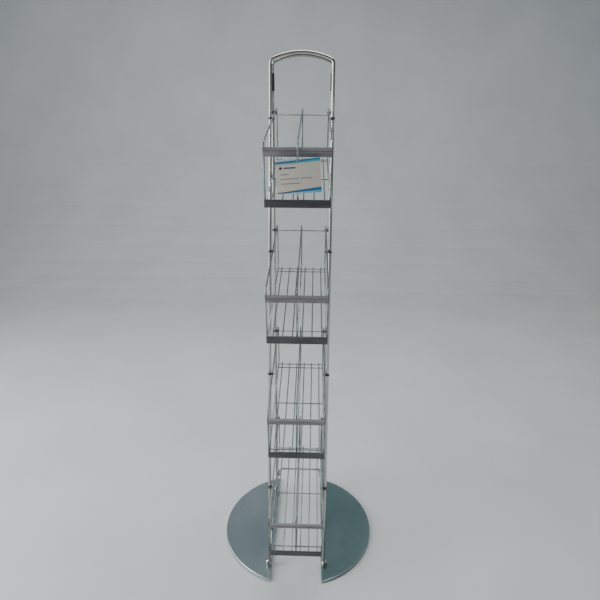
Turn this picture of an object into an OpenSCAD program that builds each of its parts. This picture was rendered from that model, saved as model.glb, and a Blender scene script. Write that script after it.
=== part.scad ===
// Tiered wire display rack: two leaning hoop frames, two half-moon base plates and
// four sloping wire baskets, each split into two pockets. The front faces -Y.

/* [Base] */
// Radius of the round outline that the two base halves share
base_r = 200; // [180:5:230]
// Clear gap between the straight edges of the two halves
base_gap = 126; // [122:1:127]
// Thickness of a base plate
plate_t = 6; // [5:0.5:8]
// Height of the rubber pads under the plates
pad_h = 3; // [2:0.5:4]

/* [Frame] */
// Diameter of the round bar of both hoop frames
bar_d = 7.5; // [7:0.1:7.6]
// Distance from the middle to the axis of a leg
leg_x = 68.5; // [68.5:0.1:70]
// Height of the legs where the arch begins
leg_top = 1192; // [1180:4:1220]
// Slope of the arch where it leaves the corner bend, in degrees
arch_slope = 24; // [18:1:32]
// Place of the front legs at the floor, from the base centre
front_foot_y = -143; // [-146:1:-138]
// Place of the front legs at the top
front_top_y = 50; // [40:1:56]
// Place of the rear legs at the floor
rear_foot_y = 128; // [124:1:132]
// Place of the rear legs at the top
rear_top_y = 100; // [96:1:104]

/* [Baskets] */
// Height of the top basket's front rail
top_rail_z = 1016; // [1010:1:1022]
// Distance from one basket to the next
tier_pitch = 277; // [274:1:279]
// Distance from the middle to the axis of a side wire
side_x = 61.5; // [60:0.5:61.5]
// Diameter of the bent side wires
side_wire_d = 3.2; // [3:0.1:3.2]
// Diameter of the straight floor and cross wires
floor_wire_d = 2.8; // [2.5:0.1:3]
// Distance between floor wires
floor_pitch = 20.4; // [19:0.1:21]
// Height of the flat-oval top rail
rail_h = 18; // [16:0.5:19]
// Height of the flat-oval lower rail
low_rail_h = 16; // [13:0.5:17]
// Thickness of both rails
rail_t = 4; // [3.5:0.5:4.5]
// How far the top rail's face turns downwards, in degrees
rail_tilt = 20; // [16:1:22]

/* [Card] */
// Width of the hanging card
card_w = 81; // [75:1:90]
// Height of the hanging card
card_h = 61; // [50:1:64]
// Sideways tilt at which the card hangs, in degrees
card_tilt = 4; // [0:1:5]

/* [Hidden] */
$fn = 32;
tiers = 4;

bar_r = bar_d / 2;
side_r = side_wire_d / 2;
floor_r = floor_wire_d / 2;
weld = 0.2;                       // how far welded wires sink into each other
plate_top = pad_h + plate_t;
foot_r = 7;
foot_x = leg_x + 2;               // the feet stand a little outside the legs, clear of the gap
foot_h = 14;
foot_chamfer = 2;
leg_seat = 7;                     // height of a leg's end above the plate, inside its foot
screw_r = 2.5;
head_r = 4.6;
head_t = 2.7;
head_inset = 0.5;                 // depth of a screw's head below the plate's underside
thread_h = 4.5;                   // how far a screw reaches up into its foot
fit_gap = 0.05;                   // radial play of a bar or screw in its own hole
drill = 1;                        // how far a cut runs past the face that it starts from
pad_r = 9;
corner_bend = 12;                 // bend radius at the arch's corners
stretcher_z = 94;                 // height of the rear stretcher
stretcher_bend = 10;
stretcher_tail = 26;              // length of the stretcher's down-turned ends
sleeve_z = 1142;
sleeve_h = 37;
pin_r = 2.5;
pin_tip_x = side_x - 3;
pin_play = 0.08;                  // radial play of a pivot in its eye
pin_head_t = 1.5;
collar_r = 5;
collar_h = 5;
eye_t = 2.6;
eye_wall = 3;
lug_gap = 4.5;                    // from a front pin's axis to the lug on either side of it
lug_t = 3;

// One basket's side outline, as [y, z] from the base centre and the front rail's middle
front_low = [-184.8, -97];
front_high = [-197.5, 17];
rear_high = [131, 91];
rear_low = [147, -22.5];
floor_slope = 0.22;
wire_bend = 9;
rear_wire_z = 76;                 // height of the wire across the back
floor_wires_y = [138, 123, -17, -166]; // places of the wires across the floor
floor_wire_end = 141;
post_lean = (front_low[0] - front_high[0]) / (front_high[1] - front_low[1]);
rail_lap = (side_r + rail_t / 2 - weld) * sqrt(1 + post_lean * post_lean);
rail_half = (rail_h - rail_t) / 2;
top_rail_y = post_y(-rail_half * cos(rail_tilt)) - rail_lap - rail_half * sin(rail_tilt);
low_rail_drop = 93;
low_rail_y = post_y(-low_rail_drop) - rail_lap;
rail_front = top_rail_y - rail_half * sin(rail_tilt) - rail_t / 2;
cap_t = 1.4;
cap_step = 0.6;                   // how much smaller an end cap is than its rail
top_slope = (rear_high[1] - front_high[1]) / (rear_high[0] - front_high[0]);
eye_drop = 5;                     // how far the rear pivot lies below the side wire
rest_gap = 0.35;                  // play between a side wire and the pin that it rests on

card_t = 1;
card_y = rail_front - 2.6;
card_hang_z = -13;                // height of the card's bar, from the rail's middle
card_lip = 2;                     // from the bar up to the card's top edge
card_ring_r = 2.2;
card_bar_r = 0.95;
card_bar_w = 16;
card_slot = [11, 4];              // width of the card's slot, and its depth below the bar
strap_w = 8;
strap_t = 0.8;
strap_top = 9;                    // underside of the strap where it crosses the rail
strap_clear = 0.2;                // gap between the strap and the rail's front
strap_grip = 1.6;                 // how far the strap wraps the divider's front wire
front_reach = -(card_y - card_ring_r);
rear_reach = sqrt(base_r * base_r - base_gap * base_gap / 4);
base_y = (front_reach - rear_reach) / 2;   // places the origin under the middle of the whole rack

function tier_z(i) = top_rail_z - (i - 1) * tier_pitch;
function post_y(z) = front_high[0] + (front_high[1] - z) * post_lean;
function floor_z(y) = rear_low[1] - (rear_low[0] - y) * floor_slope;
function side_top_z(y) = front_high[1] + (y - front_high[0]) * top_slope;
function front_lean() = (front_top_y - front_foot_y) / (leg_top - plate_top);
function rear_lean() = (rear_top_y - rear_foot_y) / (leg_top - plate_top);
function leg_y(foot_y, lean, z) = foot_y + lean * (z - plate_top);
// Where a leaning leg crosses the line that runs a drop below a basket's side wire
function hang_z(i, foot_y, lean, drop) =
    (tier_z(i) + front_high[1] - drop + top_slope * (foot_y - lean * plate_top - front_high[0]))
    / (1 - top_slope * lean);
rest_drop = side_r + pin_r + rest_gap;
function pivot_z(i) = hang_z(i, rear_foot_y, rear_lean(), eye_drop);
function pivot_y(i) = leg_y(rear_foot_y, rear_lean(), pivot_z(i));
function rest_z(i) = hang_z(i, front_foot_y, front_lean(), rest_drop);
function rest_y(i) = leg_y(front_foot_y, front_lean(), rest_z(i));

function unit(v) = v / norm(v);
function turn(a, b, c) =
    let (u = b - a, v = c - b) atan2(u[0] * v[1] - u[1] * v[0], u[0] * v[0] + u[1] * v[1]);
function trim(a, b, c, bend) = bend * tan(abs(turn(a, b, c)) / 2);

// Moves what is drawn about the base centre so that the origin is under the whole rack
module placed() translate([0, base_y, 0]) children();

// A straight round bar between two points of a flat path
module straight(a, b, r) {
    d = b - a;
    translate([a[0], a[1], 0]) rotate([0, 0, atan2(d[1], d[0])]) rotate([0, 90, 0]) cylinder(h=norm(d), r=r);
}

// Points along the bend of a flat path at b, between the runs from a and towards c
function bend_points(a, b, c, bend, steps) =
    let (
        angle = turn(a, b, c),
        u = unit(b - a),
        start = b - u * trim(a, b, c, bend),
        centre = start + sign(angle) * bend * [-u[1], u[0]],
        from = atan2(start[1] - centre[1], start[0] - centre[0])
    )
    [for (k = [0 : steps]) centre + bend * [cos(from + angle * k / steps), sin(from + angle * k / steps)]];

// A flat path with every corner rounded to the same bend
function rounded(path, bend, steps) = [
    path[0],
    for (i = [1 : len(path) - 2]) each bend_points(path[i - 1], path[i], path[i + 1], bend, steps),
    path[len(path) - 1]
];

// The direction of a flat path at point i
function heading(p, i) =
    i == 0 ? unit(p[1] - p[0])
    : i == len(p) - 1 ? unit(p[i] - p[i - 1])
    : unit(unit(p[i] - p[i - 1]) + unit(p[i + 1] - p[i]));

// A round bar swept along the points of a flat path
module swept_bar(p, r, sides) {
    last = len(p) - 1;
    rings = [
        for (i = [0 : last], k = [0 : sides - 1])
            let (u = heading(p, i), a = 360 * k / sides)
            [p[i][0] - r * cos(a) * u[1], p[i][1] + r * cos(a) * u[0], r * sin(a)]
    ];
    skin = [
        for (i = [0 : last - 1], k = [0 : sides - 1])
            let (n = (k + 1) % sides)
            [i * sides + k, (i + 1) * sides + k, (i + 1) * sides + n, i * sides + n]
    ];
    ends = [[for (k = [0 : sides - 1]) k], [for (k = [sides - 1 : -1 : 0]) last * sides + k]];
    polyhedron(points=rings, faces=concat(skin, ends), convexity=8);
}

// Stands a flat path up so that its first axis is Y and its second is Z
module in_side_plane(x) translate([x, 0, 0]) rotate([90, 0, 90]) children();

// Lays a flat path in a leaning frame's plane: first axis X, second axis up the legs
module in_frame_plane(foot_y, lean)
    translate([0, foot_y, plate_top]) rotate([90 - atan(lean), 0, 0]) children();

// ---- Base ----
module base_plate(side) {
    rim = 1;
    color("lightsteelblue") placed() difference() {
        intersection() {
            translate([0, 0, pad_h]) rotate_extrude($fn=96) polygon([
                [0, 0], [base_r - rim, 0], [base_r, rim], [base_r, plate_t - rim],
                [base_r - rim, plate_t], [0, plate_t]
            ]);
            translate([side > 0 ? base_gap / 2 : -base_r - 1, -base_r - 1, 0])
                cube([base_r + 1 - base_gap / 2, 2 * base_r + 2, plate_top + 1]);
        }
        for (y = [front_foot_y, rear_foot_y]) translate([side * foot_x, y, pad_h - drill]) {
            cylinder(h=plate_t + 2 * drill, r=screw_r + 5 * fit_gap);
            cylinder(h=head_t + head_inset + drill, r=head_r + 0.4);
        }
    }
}

module floor_pads() color("dimgray") placed()
    for (side = [-1, 1], p = [[92, -150], [92, 105], [172, 0]])
        translate([side * p[0], p[1], 0]) cylinder(h=pad_h, r=pad_r);

module leg_bore(x, foot_y, lean) translate([x, foot_y, plate_top])
    rotate([-atan(lean), 0, 0]) translate([0, 0, leg_seat]) cylinder(h=2 * foot_h, r=bar_r + fit_gap);

module leg_feet() color("gainsboro") placed()
    for (side = [-1, 1], leg = [[front_foot_y, front_lean()], [rear_foot_y, rear_lean()]]) difference() {
        translate([side * foot_x, leg[0], plate_top]) {
            cylinder(h=foot_h - foot_chamfer, r=foot_r);
            translate([0, 0, foot_h - foot_chamfer])
                cylinder(h=foot_chamfer, r1=foot_r, r2=foot_r - foot_chamfer);
        }
        leg_bore(side * leg_x, leg[0], leg[1]);
        translate([side * foot_x, leg[0], plate_top - drill])
            cylinder(h=thread_h + 2 * drill - 0.5, r=screw_r + fit_gap);
    }

module foot_screws() color("gray") placed()
    for (side = [-1, 1], y = [front_foot_y, rear_foot_y]) translate([side * foot_x, y, pad_h]) {
        translate([0, 0, head_inset]) cylinder(h=head_t, r=head_r);
        translate([0, 0, head_inset]) cylinder(h=plate_t + thread_h - head_inset, r=screw_r);
    }

// ---- Hoop frames ----
module hoop(foot_y, lean) {
    corner = 90 - arch_slope;
    leg_len = (leg_top - plate_top) * sqrt(1 + lean * lean);
    arc_x = leg_x - corner_bend * (1 - cos(corner));
    arc_r = arc_x / sin(arch_slope);
    arc_centre = [0, leg_len + corner_bend * sin(corner) - arc_r * cos(arch_slope)];
    left_corner = [for (k = [0 : 5])
        [corner_bend - leg_x, leg_len] + corner_bend * [-cos(corner * k / 5), sin(corner * k / 5)]];
    arch = [for (k = [1 : 15])
        let (a = 90 + arch_slope * (1 - k / 8)) arc_centre + arc_r * [cos(a), sin(a)]];
    right_corner = [for (k = [5 : -1 : 0]) [-left_corner[k][0], left_corner[k][1]]];
    leg_end = leg_seat + 4 * fit_gap;
    path = concat([[-leg_x, leg_end]], left_corner, arch, right_corner, [[leg_x, leg_end]]);
    color("silver") placed() in_frame_plane(foot_y, lean) swept_bar(path, bar_r, 16);
}

module rear_stretcher() {
    r = bar_r - 0.1;
    x = leg_x - bar_r - r + weld;
    level = stretcher_z - plate_top;
    path = [[-x, level - stretcher_tail], [-x, level], [x, level], [x, level - stretcher_tail]];
    color("silver") placed() in_frame_plane(rear_foot_y, rear_lean())
        swept_bar(rounded(path, stretcher_bend, 5), r, 12);
}

module hoop_sleeves() color("black") placed()
    in_frame_plane(rear_foot_y, rear_lean()) for (side = [-1, 1])
        translate([side * leg_x, sleeve_z - plate_top, 0]) rotate([-90, 0, 0]) difference() {
            cylinder(h=sleeve_h, r=bar_r + 1);
            translate([0, 0, -drill]) cylinder(h=sleeve_h + 2 * drill, r=bar_r + fit_gap);
        }

// A collar clamped on a leaning leg, with a stub pin that points inwards
module hanger_pin(side, y, z, lean, head) {
    difference() {
        union() {
            translate([side * leg_x, y, z]) rotate([-atan(lean), 0, 0])
                translate([0, 0, -collar_h / 2]) cylinder(h=collar_h, r=collar_r);
            translate([side * pin_tip_x, y, z]) rotate([0, side * 90, 0])
                cylinder(h=leg_x - pin_tip_x, r=pin_r);
            if (head) translate([side * pin_tip_x, y, z]) rotate([0, -side * 90, 0])
                translate([0, 0, -pin_head_t]) cylinder(h=pin_head_t, r=pin_r + pin_head_t);
        }
        translate([side * leg_x, y, z]) rotate([-atan(lean), 0, 0])
            translate([0, 0, -collar_h]) cylinder(h=2 * collar_h, r=bar_r + fit_gap);
    }
}

module front_hanger_pins() color("darkslategray") placed()
    for (i = [1 : tiers], side = [-1, 1]) hanger_pin(side, rest_y(i), rest_z(i), front_lean(), false);

module rear_hanger_pins() color("darkslategray") placed()
    for (i = [1 : tiers], side = [-1, 1]) hanger_pin(side, pivot_y(i), pivot_z(i), rear_lean(), true);

// ---- Baskets ----
module in_tier(i) placed() translate([0, 0, tier_z(i)]) children();

// One bent wire: front post, top run, rear post and floor run
module wire_loop(x) {
    tail_y = post_y(-low_rail_drop) + side_r + 2 * weld;
    outline = [front_low, front_high, rear_high, rear_low, [tail_y, floor_z(tail_y)]];
    in_side_plane(x) swept_bar(rounded(outline, wire_bend, 5), side_r, 8);
}

module side_wires(i) color("silver") in_tier(i) for (side = [-1, 1]) wire_loop(side * side_x);

module divider(i) color("silver") in_tier(i) wire_loop(0);

module cross_wire(y, z) translate([-side_x - 1, y, z]) rotate([0, 90, 0])
    cylinder(h=2 * (side_x + 1), r=floor_r);

module cross_wires(i) {
    reach = side_r + floor_r - weld;
    rear_y = rear_high[0]
        + (rear_high[1] - rear_wire_z) * (rear_low[0] - rear_high[0]) / (rear_high[1] - rear_low[1]);
    color("silver") in_tier(i) {
        cross_wire(rear_y - reach, rear_wire_z);
        for (y = floor_wires_y) cross_wire(y, floor_z(y) - reach * sqrt(1 + floor_slope * floor_slope));
    }
}

module floor_wires(i) {
    from = [floor_wire_end, floor_z(floor_wire_end)];
    front = low_rail_y + rail_t / 2 - weld;
    to = [front, floor_z(front)];
    color("silver") in_tier(i) for (k = [-2.5 : 1 : 2.5])
        in_side_plane(k * floor_pitch) straight(from, to, floor_r);
}

module oval(h, t) {
    for (s = [-1, 1]) translate([0, s * (h - t) / 2]) circle(d=t);
    square([t, h - t], center=true);
}

// A length of flat-oval bar along X, with its face turned down by a tilt
module rail(x0, x1, y, z, h, t, tilt)
    translate([x0, y, z]) rotate([90, 0, 90]) linear_extrude(x1 - x0) rotate(tilt) oval(h, t);

module top_rail(i) color("gray") in_tier(i)
    rail(-side_x, side_x, top_rail_y, 0, rail_h, rail_t, rail_tilt);

module lower_rail(i) color("dimgray") in_tier(i)
    rail(-side_x, side_x, low_rail_y, -low_rail_drop, low_rail_h, rail_t, atan(post_lean));

module rail_cap(x, h, y, z, tilt) rail(x, x + cap_t, y, z, h - cap_step, rail_t - cap_step, tilt);

module rail_caps(i) color("black") in_tier(i) for (x = [side_x, -side_x - cap_t]) {
    rail_cap(x, rail_h, top_rail_y, 0, rail_tilt);
    rail_cap(x, low_rail_h, low_rail_y, -low_rail_drop, atan(post_lean));
}

module hooks(i) {
    y = rest_y(i);
    z = rest_z(i) - lug_t;
    color("silver") placed() for (side = [-1, 1]) {
        // The eye that turns on the rear pin
        translate([side * side_x - eye_t / 2, pivot_y(i), pivot_z(i)]) rotate([0, 90, 0]) difference() {
            cylinder(h=eye_t, r=pin_r + eye_wall);
            translate([0, 0, -drill]) cylinder(h=eye_t + 2 * drill, r=pin_r + pin_play);
        }
        // The two lugs that straddle the front pin
        for (from = [y - lug_gap - lug_t, y + lug_gap]) translate([side * side_x - eye_t / 2, from, z])
            cube([eye_t, lug_t, side_top_z(from + lug_t / 2) + tier_z(i) - z]);
    }
}

// ---- Hanging card ----
module card_strap() {
    front = rail_front - strap_t - strap_clear;
    color("white") in_tier(1) {
        translate([-strap_w / 2, front, card_hang_z]) cube([strap_w, strap_t, strap_top + strap_t - card_hang_z]);
        translate([-strap_w / 2, front, strap_top])
            cube([strap_w, front_high[0] - side_r + strap_grip - front, strap_t]);
        translate([-strap_w / 2, card_y, card_hang_z]) rotate([0, 90, 0]) difference() {
            cylinder(h=strap_w, r=card_ring_r);
            translate([0, 0, -drill]) cylinder(h=strap_w + 2 * drill, r=card_bar_r + pin_play);
        }
    }
}

module sign_card() color("white") in_tier(1)
    translate([0, card_y, card_hang_z]) rotate([0, -card_tilt, 0]) difference() {
        translate([-card_w / 2, -card_t / 2, card_lip - card_h]) cube([card_w, card_t, card_h]);
        translate([-card_slot[0] / 2, -card_t, -card_slot[1]])
            cube([card_slot[0], 2 * card_t, card_slot[1] + card_lip + drill]);
    }

module card_bar() color("silver") in_tier(1) translate([-card_bar_w / 2, card_y, card_hang_z])
    rotate([0, 90, 0]) cylinder(h=card_bar_w, r=card_bar_r);

base_plate(-1);  // base_plate_left
base_plate(1);  // base_plate_right
floor_pads();
leg_feet();
foot_screws();
hoop(front_foot_y, front_lean());  // front_hoop
hoop(rear_foot_y, rear_lean());  // rear_hoop
rear_stretcher();
hoop_sleeves();
front_hanger_pins();
rear_hanger_pins();
for (i = [1 : tiers]) {
    side_wires(i);
    divider(i);
    cross_wires(i);
    floor_wires(i);
    top_rail(i);
    lower_rail(i);
    rail_caps(i);
    hooks(i);
}
card_strap();
sign_card();
card_bar();
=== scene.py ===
"""Looks for a tiered wire display rack: polished hoops, plated wire baskets and a hanging card."""

import math

import bmesh
import bpy
import numpy as np
from mathutils import Matrix, Vector
from mathutils.geometry import interpolate_bezier


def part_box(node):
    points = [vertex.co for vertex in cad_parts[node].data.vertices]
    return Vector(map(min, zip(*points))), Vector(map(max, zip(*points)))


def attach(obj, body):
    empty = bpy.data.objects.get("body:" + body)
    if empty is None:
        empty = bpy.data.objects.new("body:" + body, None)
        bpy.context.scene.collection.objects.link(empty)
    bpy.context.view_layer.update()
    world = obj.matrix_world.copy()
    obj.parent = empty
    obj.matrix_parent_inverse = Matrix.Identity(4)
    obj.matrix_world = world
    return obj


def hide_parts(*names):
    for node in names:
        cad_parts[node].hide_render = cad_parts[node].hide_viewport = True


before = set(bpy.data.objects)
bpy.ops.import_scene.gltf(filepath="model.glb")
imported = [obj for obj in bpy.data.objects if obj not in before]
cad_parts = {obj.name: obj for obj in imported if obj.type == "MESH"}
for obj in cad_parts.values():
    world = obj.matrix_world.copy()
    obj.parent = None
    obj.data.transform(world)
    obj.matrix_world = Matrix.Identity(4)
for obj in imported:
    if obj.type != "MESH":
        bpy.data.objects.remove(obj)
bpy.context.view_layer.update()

MM = 0.001
TIERS = range(1, 5)
LOOP_SIDES = 16
HOOP_SIDES = 28
LONG_RUN = 12 * MM           # a step of a bar's path above this is a straight run
RAIL_T = 4 * MM
CARD_T = 0.8 * MM
CARD_TILT = math.radians(4)
CARD_CORNER = 2.5 * MM
CARD_BOW = 1.2 * MM
SLOT_W = 5 * MM
SLOT_DEPTH = 6 * MM
STRAP_T = 0.8 * MM
STRAP_HALF_W = 2 * MM
STRAP_BEND = 3 * MM
STRAP_GAP = 0.2 * MM         # between the strap and the top rail's front
EYE_PLAY = 0.1 * MM
EYE_RISE = 4 * MM            # from the card's bar to where the strap leaves the eye
END_SHRINK = 0.72            # of a bar's radius, at its eased ends
BAR_EASE = 0.3               # length of the eased end, in radii
CREST_BAND = 0.04            # of a bar's radius, below its crest
RAIL_EASE = 0.3 * MM
RAIL_END_SHRINK = 0.9
SIDE_BEAD_IN = 3 * MM        # from a basket's outer face to its side beads
RAIL_BEAD_IN = 1.2 * MM
BRUSHED_GRAIN = (9, 1500, 1500)
BRUSHED_METALLIC = 0.45


# ---- Camera, floor and light ----
def add_camera(base_middle):
    """A camera a little over a metre up, before the rack, that looks down on it."""
    yaw, pitch, roll = math.radians(-1.55), math.radians(18.32), math.radians(0.4)
    ahead = Vector((math.sin(yaw) * math.cos(pitch), math.cos(yaw) * math.cos(pitch), -math.sin(pitch)))
    level = Vector((math.cos(yaw), -math.sin(yaw), 0))
    above = level.cross(ahead)
    right = math.cos(roll) * level + math.sin(roll) * above
    up = right.cross(ahead)
    data = bpy.data.cameras.new("camera")
    data.lens = 29.4
    camera = bpy.data.objects.new("camera", data)
    camera.matrix_world = Matrix((right, up, -ahead)).transposed().to_4x4()
    camera.location = base_middle + Vector((30.8, -1114.8, 1040.3)) * MM
    bpy.context.scene.collection.objects.link(camera)
    bpy.context.scene.camera = camera


def add_stage():
    """A pale floor that curves up into a wall well behind the rack."""
    half, wall_y, bend, top = 12.0, 3.2, 1.2, 4.5
    profile = [(-14.0, 0.0), (wall_y - bend, 0.0)]
    profile += [(wall_y - bend + bend * math.sin(a), bend - bend * math.cos(a))
                for a in [math.radians(9 * k) for k in range(1, 10)]]
    profile += [(wall_y, bend), (wall_y, top)]
    bm = bmesh.new()
    rows = [[bm.verts.new((x, y, z)) for x in (-half, half)] for y, z in profile]
    for low, high in zip(rows, rows[1:]):
        bm.faces.new((low[0], low[1], high[1], high[0]))
    stage = piece_from(bm, "studio_floor", floor_material())


def add_light(name, place, target, size, power, colour):
    data = bpy.data.lights.new(name, "AREA")
    data.shape = "RECTANGLE"
    data.size, data.size_y = size
    data.energy = power
    data.color = colour
    light = bpy.data.objects.new(name, data)
    light.location = place
    light.rotation_euler = (Vector(target) - Vector(place)).to_track_quat("-Z", "Y").to_euler()
    bpy.context.scene.collection.objects.link(light)


def light_room():
    """Soft window light from the left and above, and a dim cool room elsewhere."""
    middle = (0, 0, 0.65)
    add_light("window", (-2.4, -0.9, 1.9), middle, (1.2, 2.6), 66, (0.97, 0.99, 1.0))
    add_light("ceiling", (0.2, 0.7, 3.0), middle, (2.2, 1.4), 50, (1.0, 0.99, 0.97))
    add_light("fill", (2.2, -2.4, 1.5), middle, (0.8, 1.6), 9, (0.93, 0.97, 1.0))
    add_light("low_window", (-1.9, -0.2, 0.55), (0, 0, 0.3), (1.6, 0.9), 10, (0.98, 0.99, 1.0))
    world = bpy.data.worlds.new("room")
    world.use_nodes = True
    nodes, links = world.node_tree.nodes, world.node_tree.links
    place = nodes.new("ShaderNodeTexCoord")
    split = nodes.new("ShaderNodeSeparateXYZ")
    ramp = nodes.new("ShaderNodeValToRGB")
    links.new(place.outputs["Generated"], split.inputs[0])
    shift = nodes.new("ShaderNodeMapRange")
    shift.inputs["From Min"].default_value = -1.0
    links.new(split.outputs["X"], shift.inputs["Value"])
    links.new(shift.outputs["Result"], ramp.inputs["Fac"])
    elements = ramp.color_ramp.elements
    elements.new(0.36)
    stops = ((0.10, (0.90, 0.95, 0.97, 1)), (0.36, (0.13, 0.135, 0.135, 1)),
             (0.9, (0.07, 0.085, 0.09, 1)))
    for element, (position, colour) in zip(elements, stops):
        element.position, element.color = position, colour
    background = nodes["Background"]
    links.new(ramp.outputs["Color"], background.inputs["Color"])
    background.inputs["Strength"].default_value = 0.75
    pale = nodes.new("ShaderNodeBackground")
    pale.inputs["Color"].default_value = (0.42, 0.45, 0.47, 1)
    seen = nodes.new("ShaderNodeLightPath")
    either = nodes.new("ShaderNodeMixShader")
    links.new(seen.outputs["Is Camera Ray"], either.inputs["Fac"])
    links.new(background.outputs[0], either.inputs[1])
    links.new(pale.outputs[0], either.inputs[2])
    links.new(either.outputs[0], nodes["World Output"].inputs["Surface"])
    bpy.context.scene.world = world


# ---- Materials ----
def new_material(name):
    """A material with its node tree, its shader and the object's own coordinates."""
    material = bpy.data.materials.new(name)
    material.use_nodes = True
    tree = material.node_tree
    shader = tree.nodes["Principled BSDF"]
    place = tree.nodes.new("ShaderNodeTexCoord").outputs["Object"]
    return material, tree, shader, place


def noise(tree, place, stretch, detail=3.0):
    """Noise whose grain is set by a scale along each axis, in cells per metre."""
    mapping = tree.nodes.new("ShaderNodeMapping")
    mapping.inputs["Scale"].default_value = stretch
    tree.links.new(place, mapping.inputs["Vector"])
    texture = tree.nodes.new("ShaderNodeTexNoise")
    texture.inputs["Scale"].default_value = 1.0
    texture.inputs["Detail"].default_value = detail
    tree.links.new(mapping.outputs["Vector"], texture.inputs["Vector"])
    return texture.outputs["Fac"]


def ramp_between(tree, factor, stops):
    """Colours at places along a factor; a place is from 0 to 1."""
    ramp = tree.nodes.new("ShaderNodeValToRGB")
    elements = ramp.color_ramp.elements
    while len(elements) < len(stops):
        elements.new(0.5)
    for element, (place, colour) in zip(elements, stops):
        element.position = place
        element.color = (*colour, 1)
    tree.links.new(factor, ramp.inputs["Fac"])
    return ramp.outputs["Color"]


def spread(tree, factor, low, high, start=0.3, end=0.7):
    """A factor brought to the range from low to high."""
    node = tree.nodes.new("ShaderNodeMapRange")
    tree.links.new(factor, node.inputs["Value"])
    node.inputs["From Min"].default_value = start
    node.inputs["From Max"].default_value = end
    node.inputs["To Min"].default_value = low
    node.inputs["To Max"].default_value = high
    return node.outputs["Result"]


def math_node(tree, operation, first, second):
    node = tree.nodes.new("ShaderNodeMath")
    node.operation = operation
    for socket, value in zip(node.inputs, (first, second)):
        if isinstance(value, (int, float)):
            socket.default_value = value
        else:
            tree.links.new(value, socket)
    return node.outputs[0]


def mix_colour(tree, factor, under, over):
    """The colour over laid on the colour under as far as factor says."""
    node = tree.nodes.new("ShaderNodeMix")
    node.data_type = "RGBA"
    tree.links.new(factor, node.inputs["Factor"])
    for socket, value in ((node.inputs[6], under), (node.inputs[7], over)):
        if isinstance(value, tuple):
            socket.default_value = (*value, 1)
        else:
            tree.links.new(value, socket)
    return node.outputs[2]


def bump(tree, shader, height, strength, distance):
    node = tree.nodes.new("ShaderNodeBump")
    node.inputs["Strength"].default_value = strength
    node.inputs["Distance"].default_value = distance
    tree.links.new(height, node.inputs["Height"])
    tree.links.new(node.outputs["Normal"], shader.inputs["Normal"])


def plated(name, dull, bright, rough):
    """Plated metal: slow clouds of tone, fine polishing marks and a slightly uneven gloss."""
    material, tree, shader, place = new_material(name)
    shader.inputs["Metallic"].default_value = 1.0
    clouds = noise(tree, place, (55, 55, 30))
    marks = noise(tree, place, (900, 900, 160), detail=5.0)
    tone = math_node(tree, "ADD", math_node(tree, "MULTIPLY", clouds, 0.7),
                     math_node(tree, "MULTIPLY", marks, 0.3))
    tree.links.new(ramp_between(tree, tone, [(0.38, dull), (0.6, bright)]), shader.inputs["Base Color"])
    tree.links.new(spread(tree, tone, rough[1], rough[0]), shader.inputs["Roughness"])
    bump(tree, shader, marks, 0.04, 0.02 * MM)
    return material


def brushed(name, dark, light, rough):
    """Brushed metal whose fine lines run along X, with a broad change of tone along the rail."""
    material, tree, shader, place = new_material(name)
    shader.inputs["Metallic"].default_value = BRUSHED_METALLIC
    lines = noise(tree, place, BRUSHED_GRAIN, detail=6.0)
    broad = noise(tree, place, (22, 60, 60), detail=2.0)
    tone = math_node(tree, "ADD", math_node(tree, "MULTIPLY", lines, 0.55),
                     math_node(tree, "MULTIPLY", broad, 0.45))
    tree.links.new(ramp_between(tree, tone, [(0.36, dark), (0.62, light)]), shader.inputs["Base Color"])
    tree.links.new(spread(tree, lines, rough[0], rough[1]), shader.inputs["Roughness"])
    bump(tree, shader, lines, 0.3, 0.08 * MM)
    return material


def base_plate_material(name, low, high, middle, radius):
    """Satin sheet steel whose cool cast is a painted reflection of a pale blue wall, and a lighter rim,
    a painted highlight where it is rounded off.
    """
    material, tree, shader, place = new_material(name)
    shader.inputs["Metallic"].default_value = 0.55
    shader.inputs["Coat Weight"].default_value = 0.35
    shader.inputs["Coat Roughness"].default_value = 0.08
    clouds = noise(tree, place, (7, 5, 7), detail=2.5)
    grain = noise(tree, place, (1100, 35, 400), detail=5.0)
    tone = math_node(tree, "ADD", math_node(tree, "MULTIPLY", clouds, 0.97),
                     math_node(tree, "MULTIPLY", grain, 0.03))
    body = ramp_between(tree, tone, [(0.36, low), (0.64, high)])
    flat = tree.nodes.new("ShaderNodeMapping")
    flat.inputs["Location"].default_value = (-middle.x, -middle.y, 0)
    flat.inputs["Scale"].default_value = (1, 1, 0)
    tree.links.new(place, flat.inputs["Vector"])
    away = tree.nodes.new("ShaderNodeVectorMath")
    away.operation = "LENGTH"
    tree.links.new(flat.outputs["Vector"], away.inputs[0])
    # Painted highlight: a lighter ring of colour along the plate's rounded rim.
    rim = spread(tree, away.outputs["Value"], 0.0, 1.0, radius - 1.4 * MM, radius - 0.9 * MM)
    tree.links.new(mix_colour(tree, rim, body, (0.40, 0.44, 0.45)), shader.inputs["Base Color"])
    tree.links.new(spread(tree, clouds, 0.22, 0.3), shader.inputs["Roughness"])
    bump(tree, shader, grain, 0.03, 0.01 * MM)
    return material


def moulded(name, dark, light, rough, grain=1400):
    """Moulded plastic or rubber: a fine spark-eroded grain and faint scuffs."""
    material, tree, shader, place = new_material(name)
    fine = noise(tree, place, (grain, grain, grain), detail=2.0)
    scuffs = noise(tree, place, (160, 160, 60), detail=4.0)
    tree.links.new(ramp_between(tree, scuffs, [(0.35, dark), (0.7, light)]), shader.inputs["Base Color"])
    tree.links.new(spread(tree, fine, rough[0], rough[1]), shader.inputs["Roughness"])
    bump(tree, shader, fine, 0.35, 0.12 * MM)
    return material


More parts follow.
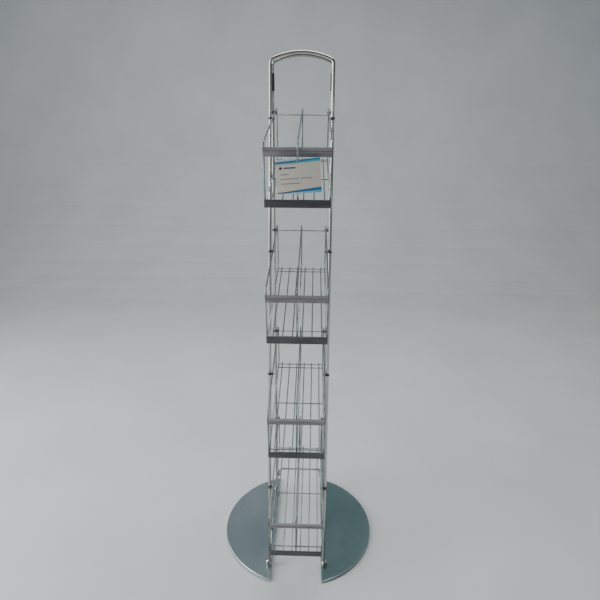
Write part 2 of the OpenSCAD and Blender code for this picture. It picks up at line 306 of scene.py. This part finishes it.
def floor_material():
    """A pale matt studio floor with a faint mottle."""
    material, tree, shader, place = new_material("studio_floor")
    mottle = noise(tree, place, (3, 3, 3), detail=4.0)
    tree.links.new(ramp_between(tree, mottle, [(0.3, (0.60, 0.63, 0.65)), (0.7, (0.66, 0.69, 0.70))]),
                   shader.inputs["Base Color"])
    shader.inputs["Roughness"].default_value = 0.75
    return material


def strap_material():
    """Clear soft plastic that has gone slightly milky."""
    material, tree, shader, place = new_material("clear_strap")
    shader.inputs["Transmission Weight"].default_value = 0.55
    shader.inputs["Coat Weight"].default_value = 0.4
    haze = noise(tree, place, (300, 300, 90))
    tree.links.new(ramp_between(tree, haze, [(0.35, (0.50, 0.50, 0.50)), (0.65, (0.66, 0.66, 0.65))]),
                   shader.inputs["Base Color"])
    tree.links.new(spread(tree, haze, 0.18, 0.34), shader.inputs["Roughness"])
    return material


def card_material(middle, width, height):
    """A laminated card: pale stock with slanted bands and plain rules where its lines of print stand."""
    material, tree, shader, place = new_material("printed_card")
    shader.inputs["Coat Weight"].default_value = 0.6
    shader.inputs["Coat Roughness"].default_value = 0.06
    fit = tree.nodes.new("ShaderNodeMapping")
    fit.vector_type = "TEXTURE"
    fit.inputs["Location"].default_value = middle
    fit.inputs["Rotation"].default_value = (0, -CARD_TILT, 0)
    fit.inputs["Scale"].default_value = (width / 2, 1, height / 2)
    tree.links.new(place, fit.inputs["Vector"])
    split = tree.nodes.new("ShaderNodeSeparateXYZ")
    tree.links.new(fit.outputs["Vector"], split.inputs[0])
    across, up = split.outputs["X"], split.outputs["Z"]
    edge = 0.012

    def above(level, slant):
        """1 above the line that crosses the card's middle at level and climbs by slant
        each half width."""
        line = math_node(tree, "MULTIPLY", across, slant)
        height_over = math_node(tree, "SUBTRACT", up, line)
        return spread(tree, height_over, 0.0, 1.0, level - edge, level + edge)

    def rule(left, right, level, thick):
        """1 on a level printed rule."""
        inside = math_node(tree, "MULTIPLY", spread(tree, across, 0, 1, left - edge, left + edge),
                           spread(tree, across, 1, 0, right - edge, right + edge))
        band = math_node(tree, "MULTIPLY", above(level - thick / 2, 0),
                         math_node(tree, "SUBTRACT", 1.0, above(level + thick / 2, 0)))
        return math_node(tree, "MULTIPLY", inside, band)

    tint = noise(tree, place, (60, 60, 75), detail=1.5)
    colour = ramp_between(tree, tint, [(0.34, (0.66, 0.64, 0.50)), (0.5, (0.72, 0.62, 0.57)),
                                       (0.66, (0.56, 0.64, 0.55))])
    sweep = spread(tree, across, 0.0, 1.0, -1.0, 1.0)
    cool = ramp_between(tree, sweep, [(0.0, (0.30, 0.45, 0.62)), (0.4, (0.10, 0.38, 0.45)),
                                      (1.0, (0.08, 0.42, 0.55))])
    deep = ramp_between(tree, sweep, [(0.0, (0.03, 0.08, 0.16)), (1.0, (0.02, 0.20, 0.42))])
    pale = ramp_between(tree, sweep, [(0.0, (0.55, 0.66, 0.72)), (1.0, (0.16, 0.48, 0.62))])
    colour = mix_colour(tree, above(0.74, 0.07), colour, cool)
    colour = mix_colour(tree, above(0.84, 0.08), colour, deep)
    colour = mix_colour(tree, above(0.92, 0.06), colour, pale)
    foot = math_node(tree, "SUBTRACT", 1.0, above(-0.79, 0.12))
    colour = mix_colour(tree, foot, colour, deep)
    foot = math_node(tree, "SUBTRACT", 1.0, above(-0.91, 0.06))
    colour = mix_colour(tree, foot, colour, pale)
    for left, right, level, thick, ink in (
        (-0.84, -0.72, 0.50, 0.15, (0.03, 0.02, 0.05)), (-0.66, -0.10, 0.50, 0.09, (0.10, 0.11, 0.12)),
        (-0.80, -0.42, 0.14, 0.06, (0.24, 0.24, 0.22)), (-0.80, 0.0, -0.12, 0.06, (0.27, 0.27, 0.25)),
        (0.10, 0.62, -0.12, 0.06, (0.27, 0.27, 0.25)), (-0.80, 0.05, -0.40, 0.06, (0.27, 0.27, 0.25)),
    ):
        colour = mix_colour(tree, rule(left, right, level, thick), colour, ink)
    tree.links.new(colour, shader.inputs["Base Color"])
    fibres = noise(tree, place, (700, 700, 700))
    tree.links.new(spread(tree, fibres, 0.3, 0.42), shader.inputs["Roughness"])
    bump(tree, shader, fibres, 0.08, 0.05 * MM)
    return material


# ---- Mesh helpers ----
def piece_from(bm, name, material, smooth_angle=None):
    """A linked object from a finished bmesh."""
    bmesh.ops.recalc_face_normals(bm, faces=bm.faces)
    for edge in bm.edges:
        if smooth_angle and len(edge.link_faces) == 2:
            edge.smooth = edge.calc_face_angle() < smooth_angle
    for face in bm.faces:
        face.smooth = smooth_angle is not None
    mesh = bpy.data.meshes.new(name)
    bm.to_mesh(mesh)
    bm.free()
    piece = bpy.data.objects.new(name, mesh)
    piece.data.materials.append(material)
    bpy.context.scene.collection.objects.link(piece)
    return piece


def hand_over(piece, body, slot, *nodes):
    """Makes a piece ride on a body and stand for its CAD nodes; the finish slot is not used."""
    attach(piece, body)
    if nodes:
        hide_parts(*nodes)
    return piece


def solids_of(node):
    """The separate solids of a CAD node, each as a list of linked bmesh vertices."""
    bm = bmesh.new()
    bm.from_mesh(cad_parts[node].data)
    bmesh.ops.remove_doubles(bm, verts=bm.verts, dist=0.001 * MM)
    left = set(bm.verts)
    solids = []
    while left:
        front = [left.pop()]
        solid = list(front)
        while front:
            for edge in front.pop().link_edges:
                for vert in edge.verts:
                    if vert in left:
                        left.discard(vert)
                        solid.append(vert)
                        front.append(vert)
        solids.append(solid)
    return bm, solids


def solid_boxes(node):
    """The lowest and highest corner of each separate solid of a CAD node."""
    bm, solids = solids_of(node)
    boxes = [(Vector(min(v.co[k] for v in s) for k in range(3)),
              Vector(max(v.co[k] for v in s) for k in range(3))) for s in solids]
    bm.free()
    return boxes


def bent_bars(node):
    """The centreline, radius and normal of each bent bar of a CAD node. A bar is bent in one plane,
    and its centreline is read from its crest, the line of vertices furthest from that plane."""
    bm, solids = solids_of(node)
    bars = []
    for solid in solids:
        points = np.array([v.co for v in solid])
        normal = Vector(np.linalg.svd(points - points.mean(0), full_matrices=False)[2][2])
        heights = {v: v.co.dot(normal) for v in solid}
        top, bottom = max(heights.values()), min(heights.values())
        radius = (top - bottom) / 2
        crest = {v for v in solid if heights[v] > top - CREST_BAND * radius}

        def along(vert):
            return [v for edge in vert.link_edges for v in edge.verts if v in crest and v is not vert]

        at = min((v for v in crest if len(along(v)) == 1), key=lambda v: (v.co.x, v.co.y))
        path, seen = [at.co - normal * radius], {at}
        while onward := [v for v in along(at) if v not in seen]:
            at = onward[0]
            seen.add(at)
            path.append(at.co - normal * radius)
        bars.append((path, radius, normal))
    bm.free()
    return bars


def smooth_path(points, steps=3):
    """A curve through the short steps of each bend, with the long runs kept straight."""
    runs = [after - before for before, after in zip(points, points[1:])]

    def heading(i):
        around = runs[max(i - 1, 0):i + 1]
        straight = [run for run in around if run.length > LONG_RUN]
        return (straight[0] if straight else sum(around, Vector())).normalized()

    path = [points[0]]
    for i, run in enumerate(runs):
        start, end = points[i], points[i + 1]
        if run.length > LONG_RUN:
            path.append(end)
            continue
        reach = run.length / 3
        path += interpolate_bezier(start, start + heading(i) * reach,
                                   end - heading(i + 1) * reach, end, steps + 1)[1:]
    return path


def add_tube(bm, path, radius, sides, normal):
    """A round bar along a path whose bends all lie across normal, with its ends eased."""
    ease = BAR_EASE * radius
    tip = END_SHRINK * radius
    first, last = (path[1] - path[0]).normalized(), (path[-1] - path[-2]).normalized()
    stations = [(path[0], tip, first), (path[0] + first * ease, radius, first)]
    for i in range(1, len(path) - 1):
        turn = (path[i] - path[i - 1]).normalized() + (path[i + 1] - path[i]).normalized()
        stations.append((path[i], radius, turn.normalized()))
    stations += [(path[-1] - last * ease, radius, last), (path[-1], tip, last)]
    rings = []
    for point, size, heading in stations:
        across = heading.cross(normal).normalized()
        rings.append([bm.verts.new(point + size * (math.cos(a) * across + math.sin(a) * normal))
                      for a in (2 * math.pi * k / sides for k in range(sides))])
    for ring, onward in zip(rings, rings[1:]):
        for k in range(sides):
            n = (k + 1) % sides
            bm.faces.new((ring[k], ring[n], onward[n], onward[k]))
    bm.faces.new(rings[0])
    bm.faces.new(rings[-1])


def add_bead(bm, place, size):
    """A small flattened bead of weld."""
    bmesh.ops.create_icosphere(bm, subdivisions=2, radius=1,
                               matrix=Matrix.LocRotScale(place, None, size))


# ---- Pieces ----
def bent_piece(node, body, slot, material, sides):
    """Smooth tubes in place of a CAD node of bent bars."""
    bm = bmesh.new()
    for path, radius, normal in bent_bars(node):
        add_tube(bm, smooth_path(path), radius, sides, normal)
    piece = piece_from(bm, node + "_bars", material, math.radians(50))
    return hand_over(piece, body, slot, node)


def rail_piece(node, body, slot, material, lip_highlight_material=None):
    """A rail pressed from strip: a flat face, rolled edges and, on a top rail, a lip along
    its crease."""
    low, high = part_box(node)
    middle, size = (low + high) / 2, high - low
    tilt = math.atan2(size.y - RAIL_T, size.z - RAIL_T)
    half = math.hypot(size.y - RAIL_T, size.z - RAIL_T) / 2 + RAIL_T / 2
    out = Vector((0, -math.cos(tilt), -math.sin(tilt)))
    up = Vector((0, -math.sin(tilt), math.cos(tilt)))
    face, back = 0.5 * RAIL_T, -0.5 * RAIL_T
    roll = [(0.5 * RAIL_T * math.cos(a), -half + 0.5 * RAIL_T * (1 + math.sin(a)))
            for a in (math.radians(-90 + 15 * k) for k in range(7))]
    if lip_highlight_material:
        crease = 0.34 * half
        front = [(face, crease - 0.6 * MM), (face - 0.8 * MM, crease),
                 (face - 0.15 * MM, crease + 0.5 * MM), (face - 1.7 * MM, half - 0.9 * MM),
                 (face - 2.2 * MM, half - 0.2 * MM), (-0.6 * MM, half)]
    else:
        front = [(x, -z) for x, z in reversed(roll)]
    ends = [(back + 0.4 * MM, half - 0.9 * MM), (back, half - RAIL_T / 2),
            (back, -half + RAIL_T / 2), (back + 0.6 * MM, -half + 0.5 * MM)]
    bm = bmesh.new()
    rings = []
    for x in (low.x, low.x + RAIL_EASE, high.x - RAIL_EASE, high.x):
        shrink = RAIL_END_SHRINK if x in (low.x, high.x) else 1.0
        along = Vector((x - middle.x, 0, 0))
        rings.append([bm.verts.new(middle + out * a * shrink + up * b * shrink + along)
                      for a, b in roll + front + ends])
    for ring, onward in zip(rings, rings[1:]):
        for k in range(len(ring)):
            n = (k + 1) % len(ring)
            strip = bm.faces.new((ring[k], ring[n], onward[n], onward[k]))
            # The lip's faces take the second, lighter material: a painted highlight.
            on_lip = len(roll) + 1 < k < len(roll) + len(front)
            strip.material_index = 1 if lip_highlight_material and on_lip else 0
    bm.faces.new(rings[0])
    bm.faces.new(rings[-1])
    piece = piece_from(bm, node + "_strip", material, math.radians(24))
    if lip_highlight_material:
        piece.data.materials.append(lip_highlight_material)
    return hand_over(piece, body, slot, node)


def weld_beads(tier, material):
    """Beads where a basket's floor wires cross the cross wires and where they meet the lower rail."""
    body = f"basket_{tier}"
    floors = solid_boxes(body + "_floor_wires")
    crosses = solid_boxes(body + "_cross_wires")
    bm = bmesh.new()
    for low, high in floors:
        radius = (high.x - low.x) / 2
        slope = (high.z - low.z - 2 * radius) / (high.y - low.y)
        for cross_low, cross_high in crosses:
            y = (cross_low.y + cross_high.y) / 2
            wire_z = low.z + radius + (y - low.y) * slope
            if low.y < y < high.y and abs(wire_z - cross_high.z) < 4 * radius:
                add_bead(bm, Vector(((low.x + high.x) / 2, y, cross_high.z)),
                         Vector((radius * 1.35, radius * 1.25, radius * 0.55)))
        add_bead(bm, Vector(((low.x + high.x) / 2, low.y + RAIL_BEAD_IN, low.z + radius)),
                 Vector((radius * 1.25, 1.1 * MM, radius * 1.2)))
    sides_low, sides_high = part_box(body + "_side_wires")
    for cross_low, cross_high in crosses:
        middle = (cross_low + cross_high) / 2
        radius = (cross_high.z - cross_low.z) / 2
        for x in (sides_low.x + SIDE_BEAD_IN, 0.0, sides_high.x - SIDE_BEAD_IN):
            add_bead(bm, Vector((x, middle.y, middle.z)),
                     Vector((radius * 1.5, radius * 1.15, radius * 1.15)))
    piece = piece_from(bm, body + "_weld_beads", material, math.radians(60))
    return hand_over(piece, body, "basket_wire")


def card_piece(material_for):
    """A thin card with round corners and a slot, slightly bowed, in place of the plain plate."""
    low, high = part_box("sign_card")
    size = high - low
    spread_out = math.cos(2 * CARD_TILT)
    width = (size.x * math.cos(CARD_TILT) - size.z * math.sin(CARD_TILT)) / spread_out
    height = (size.z * math.cos(CARD_TILT) - size.x * math.sin(CARD_TILT)) / spread_out
    middle = (low + high) / 2
    tilt = Matrix.Rotation(-CARD_TILT, 3, "Y")
    half = width / 2
    corner = [half - CARD_CORNER * (1 - math.sin(math.radians(15 * k))) for k in range(7)]
    right = [SLOT_W / 2 + (half - CARD_CORNER - SLOT_W / 2) * k / 8 for k in range(8)] + corner
    columns = [-x for x in reversed(right)] + [-SLOT_W / 6, SLOT_W / 6] + right

    def edge(x):
        over = max(0.0, abs(x) - (half - CARD_CORNER))
        return height / 2 - CARD_CORNER + math.sqrt(max(0.0, CARD_CORNER ** 2 - over ** 2))

    bm = bmesh.new()
    grid = []
    for x in columns:
        bow = CARD_BOW * (x / half) ** 2
        levels = (-edge(x), height / 2 - SLOT_DEPTH, edge(x))
        grid.append([bm.verts.new(middle + tilt @ Vector((x, bow - CARD_T / 2, z))) for z in levels])
    for x, left, onward in zip(columns, grid, grid[1:]):
        bm.faces.new((left[0], onward[0], onward[1], left[1]))
        if not -SLOT_W / 2 - 0.01 * MM < x < SLOT_W / 2 - 0.01 * MM:
            bm.faces.new((left[1], onward[1], onward[2], left[2]))
    bmesh.ops.recalc_face_normals(bm, faces=bm.faces)
    bmesh.ops.solidify(bm, geom=bm.faces[:], thickness=-CARD_T)
    piece = piece_from(bm, "printed_card", material_for(middle, width, height), math.radians(30))
    return hand_over(piece, "card", "card_print", "sign_card")


def strap_piece(material):
    """A soft strap that loops over the top rail and holds the card's bar in its eye."""
    low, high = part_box("card_strap")
    bar_low, bar_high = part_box("card_bar")
    rail_low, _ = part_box("basket_1_top_rail")
    bar = (bar_low + bar_high) / 2
    hole = (bar_high.z - bar_low.z) / 2 + EYE_PLAY
    thick, half_w, bend = STRAP_T, STRAP_HALF_W, STRAP_BEND
    front = rail_low.y - STRAP_GAP - thick / 2
    top = high.z - thick / 2
    ring = hole + thick / 2
    eye = [bar + ring * Vector((0, math.cos(a), math.sin(a)))
           for a in (math.radians(75 - 25 * k) for k in range(14))]
    over = [Vector((0, front + bend * (1 - math.cos(a)), top - bend * (1 - math.sin(a))))
            for a in (math.radians(15 * k) for k in range(7))]
    line = eye + [Vector((0, front, bar.z + EYE_RISE))] + over + [Vector((0, high.y, top))]
    bm = bmesh.new()
    rings = []
    for i, point in enumerate(line):
        heading = (line[min(i + 1, len(line) - 1)] - line[max(i - 1, 0)]).normalized()
        outward = heading.cross(Vector((1, 0, 0)))
        rings.append([bm.verts.new(point + Vector((x, 0, 0)) + outward * n)
                      for x, n in ((-half_w, -thick / 2), (-half_w, thick / 2),
                                   (half_w, thick / 2), (half_w, -thick / 2))])
    for ring_a, ring_b in zip(rings, rings[1:]):
        for k in range(4):
            n = (k + 1) % 4
            bm.faces.new((ring_a[k], ring_a[n], ring_b[n], ring_b[k]))
    bm.faces.new(rings[0])
    bm.faces.new(rings[-1])
    piece = piece_from(bm, "clear_strap", material, math.radians(40))
    return hand_over(piece, "basket_1", "strap_plastic", "card_strap")


def paint(node, material):
    """Gives a carried-over CAD node its material."""
    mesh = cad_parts[node].data
    mesh.materials.clear()
    mesh.materials.append(material)


left_low, left_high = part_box("base_plate_left")
right_low, right_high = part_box("base_plate_right")
base_middle = Vector(((left_low.x + right_high.x) / 2, (left_low.y + left_high.y) / 2, 0))
base_radius = (right_high.x - left_low.x) / 2

add_camera(base_middle)
add_stage()
light_room()

chrome = plated("polished_chrome", (0.50, 0.485, 0.46), (0.60, 0.585, 0.555), rough=(0.2, 0.26))
wire_metal = plated("plated_wire", (0.17, 0.20, 0.21), (0.33, 0.37, 0.375), rough=(0.18, 0.3))
bead_metal = plated("weld_bead", (0.28, 0.29, 0.30), (0.52, 0.53, 0.53), rough=(0.2, 0.4))
top_metal = brushed("top_rail_satin", (0.17, 0.155, 0.165), (0.29, 0.265, 0.28), (0.34, 0.5))
# Lighter lip colours: a painted highlight along the top rail's upward-facing lip.
lip_highlight_metal = brushed("top_rail_lip_painted_highlight", (0.30, 0.29, 0.31), (0.44, 0.43, 0.455), (0.28, 0.42))
# Lower rails: a darker copy of the top rails' satin, painted shade from the rails and baskets above.
low_shaded_metal = brushed("lower_rail_painted_shade", (0.065, 0.066, 0.072), (0.125, 0.125, 0.134), (0.34, 0.5))
cap_plastic = moulded("rail_cap", (0.12, 0.12, 0.125), (0.20, 0.20, 0.205), (0.4, 0.55))
dark_collar = plated("dark_collar", (0.07, 0.07, 0.072), (0.17, 0.17, 0.168), rough=(0.28, 0.42))
sleeve_black = moulded("black_sleeve", (0.012, 0.013, 0.014), (0.03, 0.031, 0.033), (0.35, 0.5))
rubber = moulded("pad_rubber", (0.02, 0.02, 0.02), (0.045, 0.045, 0.043), (0.6, 0.8), grain=700)
screw_steel = plated("zinc_screw", (0.35, 0.36, 0.34), (0.55, 0.55, 0.50), rough=(0.25, 0.4))

# One steel in two colours: the left plate is painted lighter and the right darker teal, painted
# reflection and shade of the room.
paint("base_plate_left", base_plate_material("left_plate_painted_light", (0.205, 0.26, 0.285), (0.245, 0.30, 0.325),
                                             base_middle, base_radius))
paint("base_plate_right", base_plate_material("right_plate_painted_shade", (0.10, 0.175, 0.185), (0.13, 0.21, 0.22),
                                              base_middle, base_radius))
for name, material in (("floor_pads", rubber), ("leg_feet", chrome), ("foot_screws", screw_steel),
                       ("hoop_sleeves", sleeve_black), ("front_hanger_pins", dark_collar),
                       ("rear_hanger_pins", dark_collar), ("card_bar", chrome)):
    paint(name, material)

for name in ("front_hoop", "rear_hoop", "rear_stretcher"):
    bent_piece(name, "stand", "hoop_chrome", chrome, HOOP_SIDES)

for tier in TIERS:
    basket = f"basket_{tier}"
    for kind in ("_side_wires", "_divider"):
        bent_piece(basket + kind, basket, "basket_wire", wire_metal, LOOP_SIDES)
    rail_piece(basket + "_top_rail", basket, "top_rail_metal", top_metal, lip_highlight_metal)
    rail_piece(basket + "_lower_rail", basket, "lower_rail_metal", low_shaded_metal)
    weld_beads(tier, bead_metal)
    for kind, material in (("_cross_wires", wire_metal), ("_floor_wires", wire_metal),
                           ("_rail_caps", cap_plastic), ("_hooks", wire_metal)):
        paint(basket + kind, material)

card_piece(card_material)
strap_piece(strap_material())
